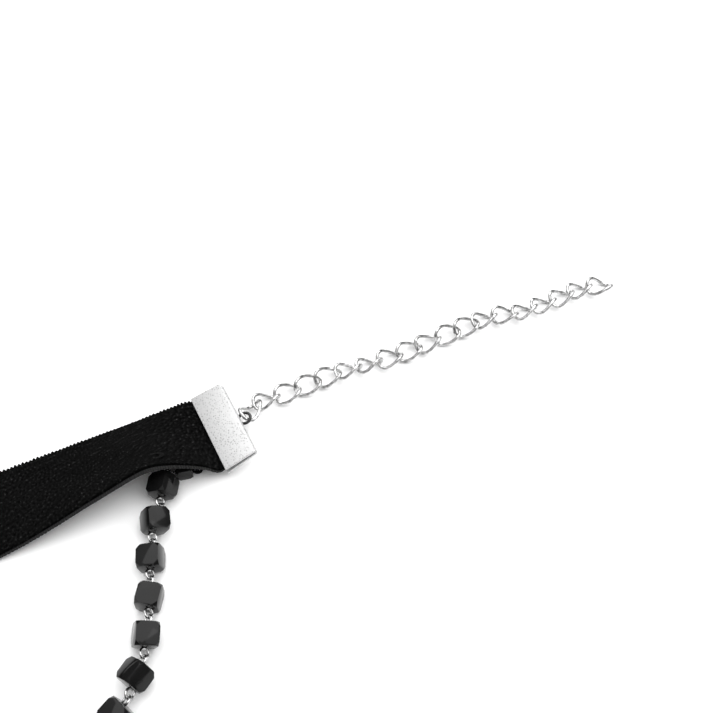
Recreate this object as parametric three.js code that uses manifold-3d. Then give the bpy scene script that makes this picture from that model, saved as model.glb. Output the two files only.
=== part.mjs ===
// A choker necklace laid open on a table: a black velvet ribbon whose two ends lie flat while the
// middle stands on its edge and rounds the neck hollow, a folded metal crimp on each end, an
// extender chain of twisted links, a jump ring with its clasp, and a string of cut black beads on
// wire eyes that hangs from the ribbon's two ends.
// Millimetres and degrees, X to the right, Y away from the viewer, Z up from the table.

import * as THREE from 'three';
import { mergeVertices } from 'three/addons/utils/BufferGeometryUtils.js';
import { ConvexGeometry } from 'three/addons/geometries/ConvexGeometry.js';
import Module from 'manifold-3d';

const wasm = await Module();
wasm.setup();

// Velvet ribbon
const RIBBON_LENGTH = 275;        // between the mouths of its two crimps
const RIBBON_WIDTH = 15.9;
const RIBBON_THICK = 1.3;
const RIBBON_CRUSHED = 0.6;       // pile pressed flat inside a crimp
const RIBBON_BEVEL = 0.35;        // soft corner along both edges
const RIBBON_STEP = 4.6;
const PLAN_STEP = 0.5;

// Folded crimp on each ribbon end
const CRIMP_DEPTH = 6.8;
const CRIMP_SHEET = 0.45;
const CRIMP_GRIP = 4.2;           // ribbon held inside the fold
const CRIMP_HOLLOW = 1.7;         // inner height beside the fold
const CRIMP_OVERHANG = 0.4;       // beyond the ribbon's edge, each side
const CRIMP_PITCH = 12.7;         // the folded side stands higher than the mouth
const CRIMP_CLEAR = 0.2;
const FOLD_STEPS = 5;
const LUG_RADIUS = 1.1;
const LUG_WIRE = 0.55;
const LUG_OFFSET = 0.8;           // from the middle of the fold towards the ribbon's lower edge

// Extender chain
const LINK_LENGTH = 5.6;
const LINK_WIDTH = 4.1;
const LINK_WIRE = 0.65;
const LINK_PLAY = 0.2;
const LINK_TWIST = 45;            // each end of a link is turned this much, one left, one right
const LINK_STEPS = 10;
const WIRE_SIDES = 5;
const WIRE_NUDGE = 0.01;          // radians between the two points that give a wire's direction

// Bead string
const BEAD_SIZE = 3.9;
const BEAD_FLAT = 0.5;            // share of a cube edge that its cut corners leave
const BEAD_GAP = 3;               // between two neighbouring beads
const PITCH_RANGE = [0.9, 1.1];   // limits of the search for the pitch that fills the route
const PITCH_HALVINGS = 30;
const END_BEAD_SIZE = 2.8;
const EYE_RADIUS = 0.8;
const EYE_WIRE = 0.5;
const EYE_PRESS = 0.1;            // neighbouring eyes are pulled tight against each other
const EYE_PLAY = 0.15;            // where the two halves of the string meet
const EYE_STEPS = 8;
const EYE_ROLL = 45;              // two eyes that meet cross at right angles
const TACK_RADIUS = 0.22;
const TACK_CLEAR = 0.1;
const TACK_SIDES = 8;

// Jump ring and clasp
const JUMP_RADIUS = 2.2;
const JUMP_WIRE = 0.7;
const JUMP_STEPS = 12;
const CLASP_LENGTH = 10;
const CLASP_WIDTH = 5.6;
const CLASP_THICK = 2.2;
const CLASP_RIM = 1.35;
const CLASP_EYE_RADIUS = 1.15;
const CLASP_EYE_WIRE = 0.6;
const CLASP_STEPS = 8;

const TABLE_GAP = 0.02;
const ROUTE_SAMPLES = 2000;
const WELD = 1e-5;

// Where the ribbon leaves the extender crimp, at its upper edge
const RIBBON_START = { x: -30.5, y: -11 };

// Heading of the ribbon's upper edge along its length, arcs between the rows
const RIBBON_TURNS = [
  { share: 0, heading: 204.6 },
  { share: 0.16, heading: 204.6 },
  { share: 0.29, heading: 218 },
  { share: 0.72, heading: 366 },
  { share: 0.84, heading: 380 },
  { share: 1, heading: 380 },
];

// Lean of the ribbon across its width, from each crimp inwards: flat in the crimp, its lower edge
// lifted over the beads, flat again, then turned up on edge round the neck.
// at, rise and the easing are shares of the ribbon's width.
const LEAN_EASING = 0.08;
const RIBBON_LEAN = [
  { at: 0, lean: 0.5, rise: 0.022 },
  { at: 0.19, lean: 11.5, rise: 0.017 },
  { at: 0.38, lean: 18.7, rise: 0.01 },
  { at: 0.57, lean: 24, rise: 0.004 },
  { at: 0.75, lean: 27, rise: 0 },
  { at: 0.94, lean: 25.8, rise: 0 },
  { at: 1.13, lean: 23.1, rise: 0 },
  { at: 1.51, lean: 17.8, rise: 0 },
  { at: 1.89, lean: 11.2, rise: 0 },
  { at: 2.26, lean: 5.1, rise: 0 },
  { at: 2.6, lean: 1, rise: 0 },
  { at: 2.9, lean: 4, rise: 0 },
  { at: 3.4, lean: 24, rise: 0 },
  { at: 4, lean: 58, rise: 0 },
  { at: 4.6, lean: 83, rise: 0 },
  { at: 5, lean: 90, rise: 0 },
];

// Chosen points of the chain, from the crimp's lug
const CHAIN_ROUTE = [
  [0.1, 0.4], [1.9, 4.3], [5.2, 5.5], [8.8, 7.2], [16.4, 10.9], [23.6, 13.2], [31.2, 16.8],
  [39.1, 20.7], [45.9, 24.1], [49.8, 24.4], [57.3, 27.5], [64.9, 31.2], [74, 31.9],
];
const CHAIN_LINKS = 19;
const LINK_ROLLS = [
  -15, -24, 8, 20, 8, -28, -34, -2, 9, -6, 22, 14, -22, -8, -28, -22, -12, -22, -9,
];

// Chosen points of the bead string, as shares of the line between its two ends
const STRING_ROUTE = [
  { along: 0.079, aside: 0.038 }, { along: 0.159, aside: 0.077 }, { along: 0.246, aside: 0.103 },
  { along: 0.334, aside: 0.129 }, { along: 0.447, aside: 0.179 }, { along: 0.559, aside: 0.309 },
  { along: 0.515, aside: 0.486 }, { along: 0.36, aside: 0.609 }, { along: 0.225, aside: 0.754 },
  { along: 0.204, aside: 0.926 }, { along: 0.299, aside: 1.084 }, { along: 0.475, aside: 1.169 },
  { along: 0.679, aside: 1.139 }, { along: 0.839, aside: 1.004 }, { along: 0.897, aside: 0.804 },
  { along: 0.841, aside: 0.577 }, { along: 0.793, aside: 0.366 }, { along: 0.776, aside: 0.167 },
  { along: 0.833, aside: 0.029 },
];
const BEAD_ROLLS = [33, -32, 12, 0, -20, 38, 5, 26, -8, 40];

// Where the string starts under the ribbon: distance from the crimp's mouth and from the upper
// edge, as shares of the ribbon's width, and where the thread tack holds it
const STRING_START = { inwards: 0.55, across: 0.83 };
const TACK_START = { inwards: 0.2, across: 0.86 };

const radians = THREE.MathUtils.degToRad;
const Z_AXIS = new THREE.Vector3(0, 0, 1);
const BEAD_PITCH = BEAD_SIZE + BEAD_GAP;
const LINK_PITCH = LINK_LENGTH - 2 * LINK_WIRE - LINK_PLAY;
const EYE_SPREAD = EYE_RADIUS - EYE_WIRE / 2;
const STRING_HEIGHT = BEAD_SIZE / 2;
const EYE_HEIGHT = EYE_WIRE + TABLE_GAP;
const TIGHT = EYE_SPREAD + EYE_PRESS / 2;
const LOOSE = EYE_SPREAD - EYE_PLAY / 2;

// Mesh helpers

function toSolid(geometry) {
  const bare = geometry.clone();
  bare.deleteAttribute('normal');
  bare.deleteAttribute('uv');
  const merged = mergeVertices(bare, WELD);
  return new wasm.Manifold(new wasm.Mesh({
    numProp: 3,
    vertProperties: new Float32Array(merged.attributes.position.array),
    triVerts: new Uint32Array(merged.index.array),
  }));
}

function toGeometry(solid) {
  const mesh = solid.getMesh();
  const geometry = new THREE.BufferGeometry();
  geometry.setAttribute('position', new THREE.BufferAttribute(mesh.vertProperties, 3));
  geometry.setIndex(new THREE.BufferAttribute(mesh.triVerts, 1));
  geometry.computeVertexNormals();
  return geometry;
}

function fuse(geometries) {
  return toGeometry(geometries.map(toSolid).reduce((sum, next) => sum.add(next)));
}

function signedVolume(points, triangles) {
  let sum = 0;
  for (let i = 0; i < triangles.length; i += 3) {
    const [a, b, c] = [points[triangles[i]], points[triangles[i + 1]], points[triangles[i + 2]]];
    sum += a.dot(b.clone().cross(c));
  }
  return sum;
}

// Skin over a row of rings with equal numbers of points, closed round or capped at both ends
function skin(rings, closed) {
  const sides = rings[0].length;
  const points = rings.flat();
  const triangles = [];
  const spans = closed ? rings.length : rings.length - 1;
  for (let i = 0; i < spans; i += 1) {
    const here = i * sides;
    const next = ((i + 1) % rings.length) * sides;
    for (let j = 0; j < sides; j += 1) {
      const k = (j + 1) % sides;
      triangles.push(here + j, here + k, next + k, here + j, next + k, next + j);
    }
  }
  if (!closed) {
    const last = (rings.length - 1) * sides;
    for (let j = 1; j < sides - 1; j += 1) {
      triangles.push(0, j + 1, j, last, last + j, last + j + 1);
    }
  }
  if (signedVolume(points, triangles) < 0) triangles.reverse();
  const geometry = new THREE.BufferGeometry().setFromPoints(points);
  geometry.setIndex(triangles);
  geometry.computeVertexNormals();
  return geometry;
}

// Round wire bent along a closed line round its own centre
function closedWire(line, steps, wire) {
  const rings = [];
  for (let i = 0; i < steps; i += 1) {
    const angle = (2 * Math.PI * i) / steps;
    const centre = line(angle);
    const along = line(angle + WIRE_NUDGE).sub(line(angle - WIRE_NUDGE)).normalize();
    const out = centre.clone().addScaledVector(along, -centre.dot(along)).normalize();
    const side = along.clone().cross(out);
    rings.push(Array.from({ length: WIRE_SIDES }, (_, j) => {
      const turn = (2 * Math.PI * j) / WIRE_SIDES;
      return centre.clone()
        .addScaledVector(out, (wire / 2) * Math.cos(turn))
        .addScaledVector(side, (wire / 2) * Math.sin(turn));
    }));
  }
  return skin(rings, true);
}

function ring(radius, wire, steps) {
  const line = (angle) => new THREE.Vector3(radius * Math.cos(angle), radius * Math.sin(angle), 0);
  return closedWire(line, steps, wire);
}

function frameMatrix(origin, x, y, z) {
  return new THREE.Matrix4().makeBasis(x, y, z).setPosition(origin);
}

// Frame whose X runs from one point to the other, rolled about that line
function lineFrame(from, to, roll) {
  const x = to.clone().sub(from).normalize();
  const y = Z_AXIS.clone().cross(x).normalize();
  const z = x.clone().cross(y);
  const middle = from.clone().add(to).multiplyScalar(0.5);
  return frameMatrix(middle, x, y, z).multiply(new THREE.Matrix4().makeRotationX(radians(roll)));
}

// Tables

function between(rows, key, at, value) {
  const last = rows.length - 1;
  if (at <= rows[0][key]) return rows[0][value];
  if (at >= rows[last][key]) return rows[last][value];
  const i = rows.findIndex((row) => row[key] > at) - 1;
  const share = (at - rows[i][key]) / (rows[i + 1][key] - rows[i][key]);
  return THREE.MathUtils.lerp(rows[i][value], rows[i + 1][value], share);
}

// The same table with its corners eased over a short stretch
function eased(rows, key, at, value, stretch) {
  const parts = [-1, -0.5, 0, 0.5, 1];
  const sum = parts.reduce((total, part) => (
    total + between(rows, key, Math.abs(at + part * stretch), value)), 0);
  return sum / parts.length;
}

// Ribbon

const ribbonPlan = [new THREE.Vector3(RIBBON_START.x, RIBBON_START.y, 0)];
for (let s = 0; s < RIBBON_LENGTH; s += PLAN_STEP) {
  const share = (s + PLAN_STEP / 2) / RIBBON_LENGTH;
  const turn = radians(between(RIBBON_TURNS, 'share', share, 'heading'));
  const step = new THREE.Vector3(Math.cos(turn), Math.sin(turn), 0);
  step.setLength(Math.min(PLAN_STEP, RIBBON_LENGTH - s));
  ribbonPlan.push(step.add(ribbonPlan[ribbonPlan.length - 1]));
}

// Point of the upper edge and the ribbon's directions at a distance from the first mouth
function ribbonStation(distance) {
  const s = THREE.MathUtils.clamp(distance, 0, RIBBON_LENGTH);
  const turn = radians(between(RIBBON_TURNS, 'share', s / RIBBON_LENGTH, 'heading'));
  const fromEnd = Math.min(s, RIBBON_LENGTH - s) / RIBBON_WIDTH;
  const lean = radians(eased(RIBBON_LEAN, 'at', fromEnd, 'lean', LEAN_EASING));
  const rise = eased(RIBBON_LEAN, 'at', fromEnd, 'rise', LEAN_EASING) * RIBBON_WIDTH;
  const along = new THREE.Vector3(Math.cos(turn), Math.sin(turn), 0);
  const left = Z_AXIS.clone().cross(along);
  const across = left.multiplyScalar(Math.cos(lean)).addScaledVector(Z_AXIS, Math.sin(lean));
  const normal = along.clone().cross(across);
  const i = Math.min(Math.floor(s / PLAN_STEP), ribbonPlan.length - 2);
  const point = ribbonPlan[i].clone().lerp(ribbonPlan[i + 1], s / PLAN_STEP - i);
  point.z = (RIBBON_THICK / 2) * Math.cos(lean) + rise + TABLE_GAP;
  const station = { point, along, across, normal };
  if (distance === s) return station;
  const end = crimpAxes(distance < 0 ? 0 : RIBBON_LENGTH);
  point.addScaledVector(end.out, Math.abs(distance - s));
  return { ...station, normal: end.normal };
}

// Directions of the crimp at one end of the ribbon, its folded side pitched up
function crimpAxes(end) {
  const { point, along, across, normal } = ribbonStation(end);
  const flat = along.clone().multiplyScalar(end === 0 ? -1 : 1);
  const pitch = radians(CRIMP_PITCH);
  const out = flat.clone().multiplyScalar(Math.cos(pitch)).addScaledVector(normal, Math.sin(pitch));
  const tilted = normal.clone().multiplyScalar(Math.cos(pitch)).addScaledVector(flat, -Math.sin(pitch));
  const middle = point.clone().addScaledVector(across, RIBBON_WIDTH / 2);
  return { middle, out, across, normal: tilted };
}

function ribbonSection({ point, across, normal }, thick) {
  const edge = Math.min(RIBBON_BEVEL, thick / 2);
  const outline = [
    [0, 0], [edge, -thick / 2], [RIBBON_WIDTH - edge, -thick / 2],
    [RIBBON_WIDTH, 0], [RIBBON_WIDTH - edge, thick / 2], [edge, thick / 2],
  ];
  return outline.map(([w, n]) => point.clone().addScaledVector(across, w).addScaledVector(normal, n));
}

function ribbonGeometry() {
  const steps = Math.round(RIBBON_LENGTH / RIBBON_STEP);
  const inside = (s) => s <= 0 || s >= RIBBON_LENGTH;
  const stops = [-CRIMP_GRIP, 0];
  for (let i = 0; i <= steps; i += 1) {
    const shrink = RIBBON_THICK * (1 - (2 * i) / steps);
    stops.push((RIBBON_LENGTH * i) / steps + shrink);
  }
  stops.push(RIBBON_LENGTH, RIBBON_LENGTH + CRIMP_GRIP);
  return skin(stops.map((s) => (
    ribbonSection(ribbonStation(s), inside(s) ? RIBBON_CRUSHED : RIBBON_THICK))), false);
}

// Crimps

// A sheet folded in two, closed at its far side and open where the ribbon enters, with a lug ring
function crimpGeometry() {
  const mouth = RIBBON_CRUSHED / 2 + CRIMP_CLEAR;
  const inner = CRIMP_HOLLOW / 2;
  const outer = inner + CRIMP_SHEET;
  const fold = CRIMP_DEPTH - outer;
  const outline = new THREE.Shape();
  outline.moveTo(0, mouth);
  outline.lineTo(fold, inner);
  outline.absarc(fold, 0, inner, Math.PI / 2, -Math.PI / 2, true);
  outline.lineTo(0, -mouth);
  outline.lineTo(0, -mouth - CRIMP_SHEET);
  outline.lineTo(fold, -outer);
  outline.absarc(fold, 0, outer, -Math.PI / 2, Math.PI / 2, false);
  outline.lineTo(0, mouth + CRIMP_SHEET);
  const width = RIBBON_WIDTH + 2 * CRIMP_OVERHANG;
  const sheet = new THREE.ExtrudeGeometry(outline, {
    depth: width, bevelEnabled: false, curveSegments: FOLD_STEPS });
  sheet.rotateX(Math.PI / 2).translate(0, width / 2, 0);
  const lug = ring(LUG_RADIUS, LUG_WIRE, EYE_STEPS);
  lug.translate(CRIMP_DEPTH + LUG_RADIUS - LUG_WIRE / 2, 0, 0);
  return { sheet, lug };
}

function crimp(end) {
  const axes = crimpAxes(end);
  const y = axes.normal.clone().cross(axes.out);
  const lower = Math.sign(y.dot(axes.across));
  const { sheet, lug } = crimpGeometry();
  lug.translate(0, lower * LUG_OFFSET, 0);
  return fuse([sheet, lug]).applyMatrix4(frameMatrix(axes.middle, axes.out, y, axes.normal));
}

function lugCentre(end) {
  const axes = crimpAxes(end);
  return axes.middle.clone()
    .addScaledVector(axes.out, CRIMP_DEPTH + LUG_RADIUS - LUG_WIRE / 2)
    .addScaledVector(axes.across, LUG_OFFSET);
}

// Chain

// Points one pitch apart along a curve, straight on past its end
function walk(curve, pitch, count) {
  const samples = curve.getSpacedPoints(ROUTE_SAMPLES);
  const points = [samples[0].clone()];
  let i = 1;
  while (points.length <= count && i < samples.length) {
    const last = points[points.length - 1];
    const before = last.distanceTo(samples[i - 1]);
    const after = last.distanceTo(samples[i]);
    if (after >= pitch) {
      points.push(samples[i - 1].clone().lerp(samples[i], (pitch - before) / (after - before)));
    } else {
      i += 1;
    }
  }
  while (points.length <= count) {
    const [a, b] = points.slice(-2);
    points.push(b.clone().add(b.clone().sub(a).setLength(pitch)));
  }
  return points;
}

function linkLine(angle) {
  const long = (LINK_LENGTH - LINK_WIRE) / 2;
  const wide = (LINK_WIDTH - LINK_WIRE) / 2;
  const lift = (wide / 2) * Math.tan(radians(LINK_TWIST));
  return new THREE.Vector3(
    long * Math.cos(angle), wide * Math.sin(angle), -lift * Math.sin(2 * angle));
}

// Height of a rolled link's middle when it rests on the table
function linkHeight(roll) {
  const turn = radians(roll);
  let highest = 0;
  for (let i = 0; i < 4 * LINK_STEPS; i += 1) {
    const { y, z } = linkLine((2 * Math.PI * i) / (4 * LINK_STEPS));
    highest = Math.max(highest, y * Math.sin(turn) + z * Math.cos(turn));
  }
  return highest + LINK_WIRE / 2 + TABLE_GAP;
}

function chainLinks() {
  const lug = lugCentre(0);
  const route = CHAIN_ROUTE.map(([x, y]) => new THREE.Vector3(lug.x + x, lug.y + y, 0));
  const joints = walk(new THREE.CatmullRomCurve3(route, false, 'centripetal'), LINK_PITCH, CHAIN_LINKS);
  const heights = LINK_ROLLS.map(linkHeight);
  joints.forEach((joint, i) => {
    const before = heights[Math.max(i - 1, 0)];
    const after = heights[Math.min(i, CHAIN_LINKS - 1)];
    joint.z = i === 0 ? lug.z : Math.max(before, after);
  });
  const link = closedWire(linkLine, LINK_STEPS, LINK_WIRE);
  return LINK_ROLLS.slice(0, CHAIN_LINKS).map((roll, i) => (
    link.clone().applyMatrix4(lineFrame(joints[i], joints[i + 1], roll))));
}

// Bead string

// Cube with its eight corners cut off
function beadGeometry(size) {
  const half = size / 2;
  const flat = half * BEAD_FLAT;
  const points = [];
  for (const [x, y, z] of [[half, half, flat], [half, flat, half], [flat, half, half]]) {
    for (const [i, j, k] of [[1, 1, 1], [1, 1, -1], [1, -1, 1], [1, -1, -1]]) {
      points.push(new THREE.Vector3(x * i, y * j, z * k), new THREE.Vector3(-x * i, y * j, z * k));
    }
  }
  return new ConvexGeometry(points);
}

// A place under the flat end of the ribbon, on plan
function underRibbon(end, { inwards, across }) {
  const inner = end === 0 ? inwards * RIBBON_WIDTH : RIBBON_LENGTH - inwards * RIBBON_WIDTH;
  const station = ribbonStation(inner);
  const place = station.point.clone().addScaledVector(station.across, across * RIBBON_WIDTH);
  place.addScaledVector(station.normal, -RIBBON_THICK / 2);
  return place;
}

function flatPoint(place, height) {
  return new THREE.Vector3(place.x, place.y, height);
}

function stringCurve(from, to) {
  const chord = to.clone().sub(from);
  const aside = Z_AXIS.clone().cross(chord);
  const points = STRING_ROUTE.map((row) => (
    from.clone().addScaledVector(chord, row.along).addScaledVector(aside, -row.aside)));
  return new THREE.CatmullRomCurve3([from, ...points, to], false, 'centripetal');
}

// Joints of the string, evenly spaced so that whole beads fill its route
function stringJoints(from, to) {
  const curve = stringCurve(from, to);
  const count = Math.round(curve.getLength() / BEAD_PITCH);
  let [low, high] = PITCH_RANGE.map((share) => share * BEAD_PITCH);
  for (let i = 0; i < PITCH_HALVINGS; i += 1) {
    const pitch = (low + high) / 2;
    const whole = Math.floor(lengthWalked(curve, pitch));
    if (whole >= count) low = pitch;
    else high = pitch;
  }
  return walk(curve, low, count);
}

function lengthWalked(curve, pitch) {
  const samples = curve.getSpacedPoints(ROUTE_SAMPLES);
  let [last, whole] = [samples[0], 0];
  for (const sample of samples) {
    if (last.distanceTo(sample) >= pitch) {
      last = sample;
      whole += 1;
    }
  }
  return whole;
}

// One wire eye, reaching from a joint back into its bead
function eye(joint, towards, roll, spread) {
  const axis = towards.clone().sub(joint).normalize();
  const frame = lineFrame(joint, towards, roll);
  frame.setPosition(joint.clone().addScaledVector(axis, spread));
  return ring(EYE_RADIUS, EYE_WIRE, EYE_STEPS).applyMatrix4(frame);
}

// A bead resting on the table between two joints, with a wire eye at each
function bead(from, to, size, roll, eyes) {
  const turn = Math.abs(radians(roll));
  const height = (size / 2) * (Math.cos(turn) + Math.sin(turn)) + TABLE_GAP;
  const frame = lineFrame(flatPoint(from, height), flatPoint(to, height), roll);
  return [
    beadGeometry(size).applyMatrix4(frame),
    eye(from, to, eyes[0].roll, eyes[0].spread),
    eye(to, from, eyes[1].roll, eyes[1].spread),
  ];
}

// The small bead at one end of the string, its outer eye lying flat round the thread tack
function endBead(end, joint) {
  const tack = underRibbon(end, TACK_START);
  const axis = flatPoint(tack, joint.z).sub(joint).setLength(END_BEAD_SIZE + BEAD_GAP);
  const held = flatPoint(joint.clone().add(axis), EYE_HEIGHT);
  const tight = { roll: EYE_ROLL, spread: TIGHT };
  const solids = bead(held, joint, END_BEAD_SIZE, 0, [{ roll: 0, spread: TIGHT }, tight]);
  const centre = held.clone().addScaledVector(axis.normalize(), -TIGHT);
  return { solids, thread: threadTack(centre, tack.z - TACK_CLEAR) };
}

// Short bar of thread from the eye up to the ribbon's back
function threadTack(centre, top) {
  const bottom = TACK_CLEAR;
  const bar = new THREE.CylinderGeometry(TACK_RADIUS, TACK_RADIUS, top - bottom, TACK_SIDES);
  return bar.rotateX(Math.PI / 2).translate(centre.x, centre.y, (top + bottom) / 2);
}

// The string in two fused halves that meet, and the tacks that hold its ends
function beadString() {
  const ends = [0, RIBBON_LENGTH].map((end) => (
    flatPoint(underRibbon(end, STRING_START), STRING_HEIGHT)));
  const joints = stringJoints(...ends);
  const count = joints.length - 1;
  const half = Math.floor(count / 2);
  const first = endBead(0, joints[0]);
  const last = endBead(RIBBON_LENGTH, joints[count]);
  const halves = [first.solids, last.solids];
  for (let i = 0; i < count; i += 1) {
    const near = { roll: EYE_ROLL, spread: i === half ? LOOSE : TIGHT };
    const far = { roll: EYE_ROLL, spread: i === half - 1 ? LOOSE : TIGHT };
    const roll = BEAD_ROLLS[i % BEAD_ROLLS.length];
    halves[i < half ? 0 : 1].push(...bead(joints[i], joints[i + 1], BEAD_SIZE, roll, [near, far]));
  }
  return { halves: halves.map(fuse), tacks: [first.thread, last.thread] };
}

// Jump ring and clasp

function flatOut(end) {
  return flatPoint(crimpAxes(end).out, 0).normalize();
}

// Ring standing on the table through the lug
function jumpRing() {
  const reach = (LUG_RADIUS - (LUG_WIRE + JUMP_WIRE) / 2) / 2 + JUMP_RADIUS;
  const out = flatOut(RIBBON_LENGTH);
  const centre = lugCentre(RIBBON_LENGTH).addScaledVector(out, reach);
  centre.z = JUMP_RADIUS + JUMP_WIRE / 2 + TABLE_GAP;
  const side = Z_AXIS.clone().cross(out);
  const frame = frameMatrix(centre, out, Z_AXIS, side.negate());
  return { centre, geometry: ring(JUMP_RADIUS, JUMP_WIRE, JUMP_STEPS).applyMatrix4(frame) };
}

// Clasp lying flat, its eye round the jump ring
function clasp(jumpCentre) {
  const out = flatOut(RIBBON_LENGTH);
  const height = CLASP_THICK / 2 + TABLE_GAP;
  const drop = jumpCentre.z - height;
  const reach = Math.sqrt(JUMP_RADIUS ** 2 - drop ** 2) + LINK_PLAY / 2;
  const origin = flatPoint(jumpCentre.clone().addScaledVector(out, reach), height);
  const long = CLASP_LENGTH / 2;
  const wide = CLASP_WIDTH / 2;
  const start = CLASP_EYE_RADIUS - CLASP_EYE_WIRE / 2;
  const outline = new THREE.Shape();
  outline.absellipse(start + long, 0, long, wide, 0, 2 * Math.PI, false);
  const hole = new THREE.Path();
  hole.absellipse(start + long, 0, long - CLASP_RIM, wide - CLASP_RIM, 0, 2 * Math.PI, true);
  outline.holes.push(hole);
  const body = new THREE.ExtrudeGeometry(outline, {
    depth: CLASP_THICK, bevelEnabled: false, curveSegments: CLASP_STEPS });
  body.translate(0, 0, -CLASP_THICK / 2);
  const eyeRing = ring(CLASP_EYE_RADIUS, CLASP_EYE_WIRE, EYE_STEPS);
  const frame = frameMatrix(origin, out, Z_AXIS.clone().cross(out), Z_AXIS);
  return fuse([body, eyeRing]).applyMatrix4(frame);
}

// Materials

const velvet = { color: 0x0b0b0c, roughness: 0.95, metalness: 0 };
const mattSilver = { color: 0xd0d1d2, roughness: 0.4, metalness: 0.9 };
const brightSilver = { color: 0xd8d9da, roughness: 0.2, metalness: 1 };
const blackGlass = { color: 0x0d0d0f, roughness: 0.12, metalness: 0 };
const blackThread = { color: 0x101011, roughness: 0.9, metalness: 0 };

// Assembly

const group = new THREE.Group();

function add(name, geometry, finish) {
  const mesh = new THREE.Mesh(geometry, new THREE.MeshStandardMaterial(finish));
  mesh.name = name;
  group.add(mesh);
}

add('ribbon', ribbonGeometry(), velvet);
add('crimp_chain_end', crimp(0), mattSilver);
add('crimp_clasp_end', crimp(RIBBON_LENGTH), mattSilver);
chainLinks().forEach((link, i) => {
  add(`chain_link_${String(i + 1).padStart(2, '0')}`, link, brightSilver);
});
const { halves, tacks } = beadString();
add('bead_string_a', halves[0], blackGlass);
add('bead_string_b', halves[1], blackGlass);
add('thread_tack_a', tacks[0], blackThread);
add('thread_tack_b', tacks[1], blackThread);
const jump = jumpRing();
add('jump_ring', jump.geometry, brightSilver);
add('clasp', clasp(jump.centre), brightSilver);

// Origin at the middle of the footprint, on the table
const box = new THREE.Box3().setFromObject(group);
const middle = box.getCenter(new THREE.Vector3());
group.children.forEach((mesh) => mesh.position.set(-middle.x, -middle.y, -box.min.z));

export default group;
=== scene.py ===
"""Choker necklace laid open on a pale table: velvet ribbon, end crimps, extender chain, black beads."""

import logging
import math
import random
from collections.abc import Callable, Iterator, Sequence
from contextlib import contextmanager
from dataclasses import dataclass, field
from enum import Enum

import bmesh
import bpy
from mathutils import Matrix, Vector


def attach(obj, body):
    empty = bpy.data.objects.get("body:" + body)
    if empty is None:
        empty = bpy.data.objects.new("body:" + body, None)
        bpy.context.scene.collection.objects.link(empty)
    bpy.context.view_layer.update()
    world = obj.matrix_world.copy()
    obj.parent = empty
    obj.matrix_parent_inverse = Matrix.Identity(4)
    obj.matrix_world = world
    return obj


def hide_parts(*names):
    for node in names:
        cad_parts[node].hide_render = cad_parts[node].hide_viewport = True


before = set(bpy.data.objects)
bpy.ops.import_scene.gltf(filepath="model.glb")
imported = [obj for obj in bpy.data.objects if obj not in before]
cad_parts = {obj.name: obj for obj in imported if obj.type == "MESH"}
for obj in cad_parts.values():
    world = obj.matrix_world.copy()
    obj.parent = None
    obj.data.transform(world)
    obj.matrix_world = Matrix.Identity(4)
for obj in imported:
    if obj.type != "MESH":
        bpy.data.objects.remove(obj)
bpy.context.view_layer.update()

LOG = logging.getLogger("choker")

MM = 0.001
SHIFT = Vector((34.45653, 56.29751, -0.02))
TO_ROW = Matrix.Scale(MM, 4) @ Matrix.Translation(SHIFT)
Z_AXIS = Vector((0, 0, 1))
UV_PER_MM = 0.01
CURVE_STEPS = 4
ROUND_ANGLE = 60.0
CLOSE = 0.01
LEVEL = 0.9
SEED = 11


class Slot(Enum):
    """Material slots of the record."""

    VELVET = "velvet"
    CRIMP = "crimp_metal"
    WIRE = "bright_wire"
    GLASS = "bead_glass"
    THREAD = "thread"


class End(Enum):
    """The ribbon's two ends."""

    CHAIN = 0
    CLASP = 1


# Shader helpers


class Value:
    """A shader socket on which arithmetic adds Math nodes."""

    def __init__(self, shader: "Shader", socket: bpy.types.NodeSocket) -> None:
        """Wraps one output socket.

        Args:
            shader: the shader that the socket belongs to.
            socket: the output socket.
        """
        self.shader = shader
        self.socket = socket

    def _math(self, operation: str, *terms: "Value | float") -> "Value":
        """Adds one Math node and returns its output."""
        return self.shader.node("ShaderNodeMath", {"operation": operation}, dict(enumerate(terms)))

    def __add__(self, other: "Value | float") -> "Value":
        """self + other."""
        return self._math("ADD", self, other)

    def __radd__(self, other: float) -> "Value":
        """other + self."""
        return self._math("ADD", other, self)

    def __sub__(self, other: "Value | float") -> "Value":
        """self - other."""
        return self._math("SUBTRACT", self, other)

    def __rsub__(self, other: float) -> "Value":
        """other - self."""
        return self._math("SUBTRACT", other, self)

    def __mul__(self, other: "Value | float") -> "Value":
        """self * other."""
        return self._math("MULTIPLY", self, other)

    def __rmul__(self, other: float) -> "Value":
        """other * self."""
        return self._math("MULTIPLY", other, self)

    def __pow__(self, other: "Value | float") -> "Value":
        """self to the power of other."""
        return self._math("POWER", self, other)


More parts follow.
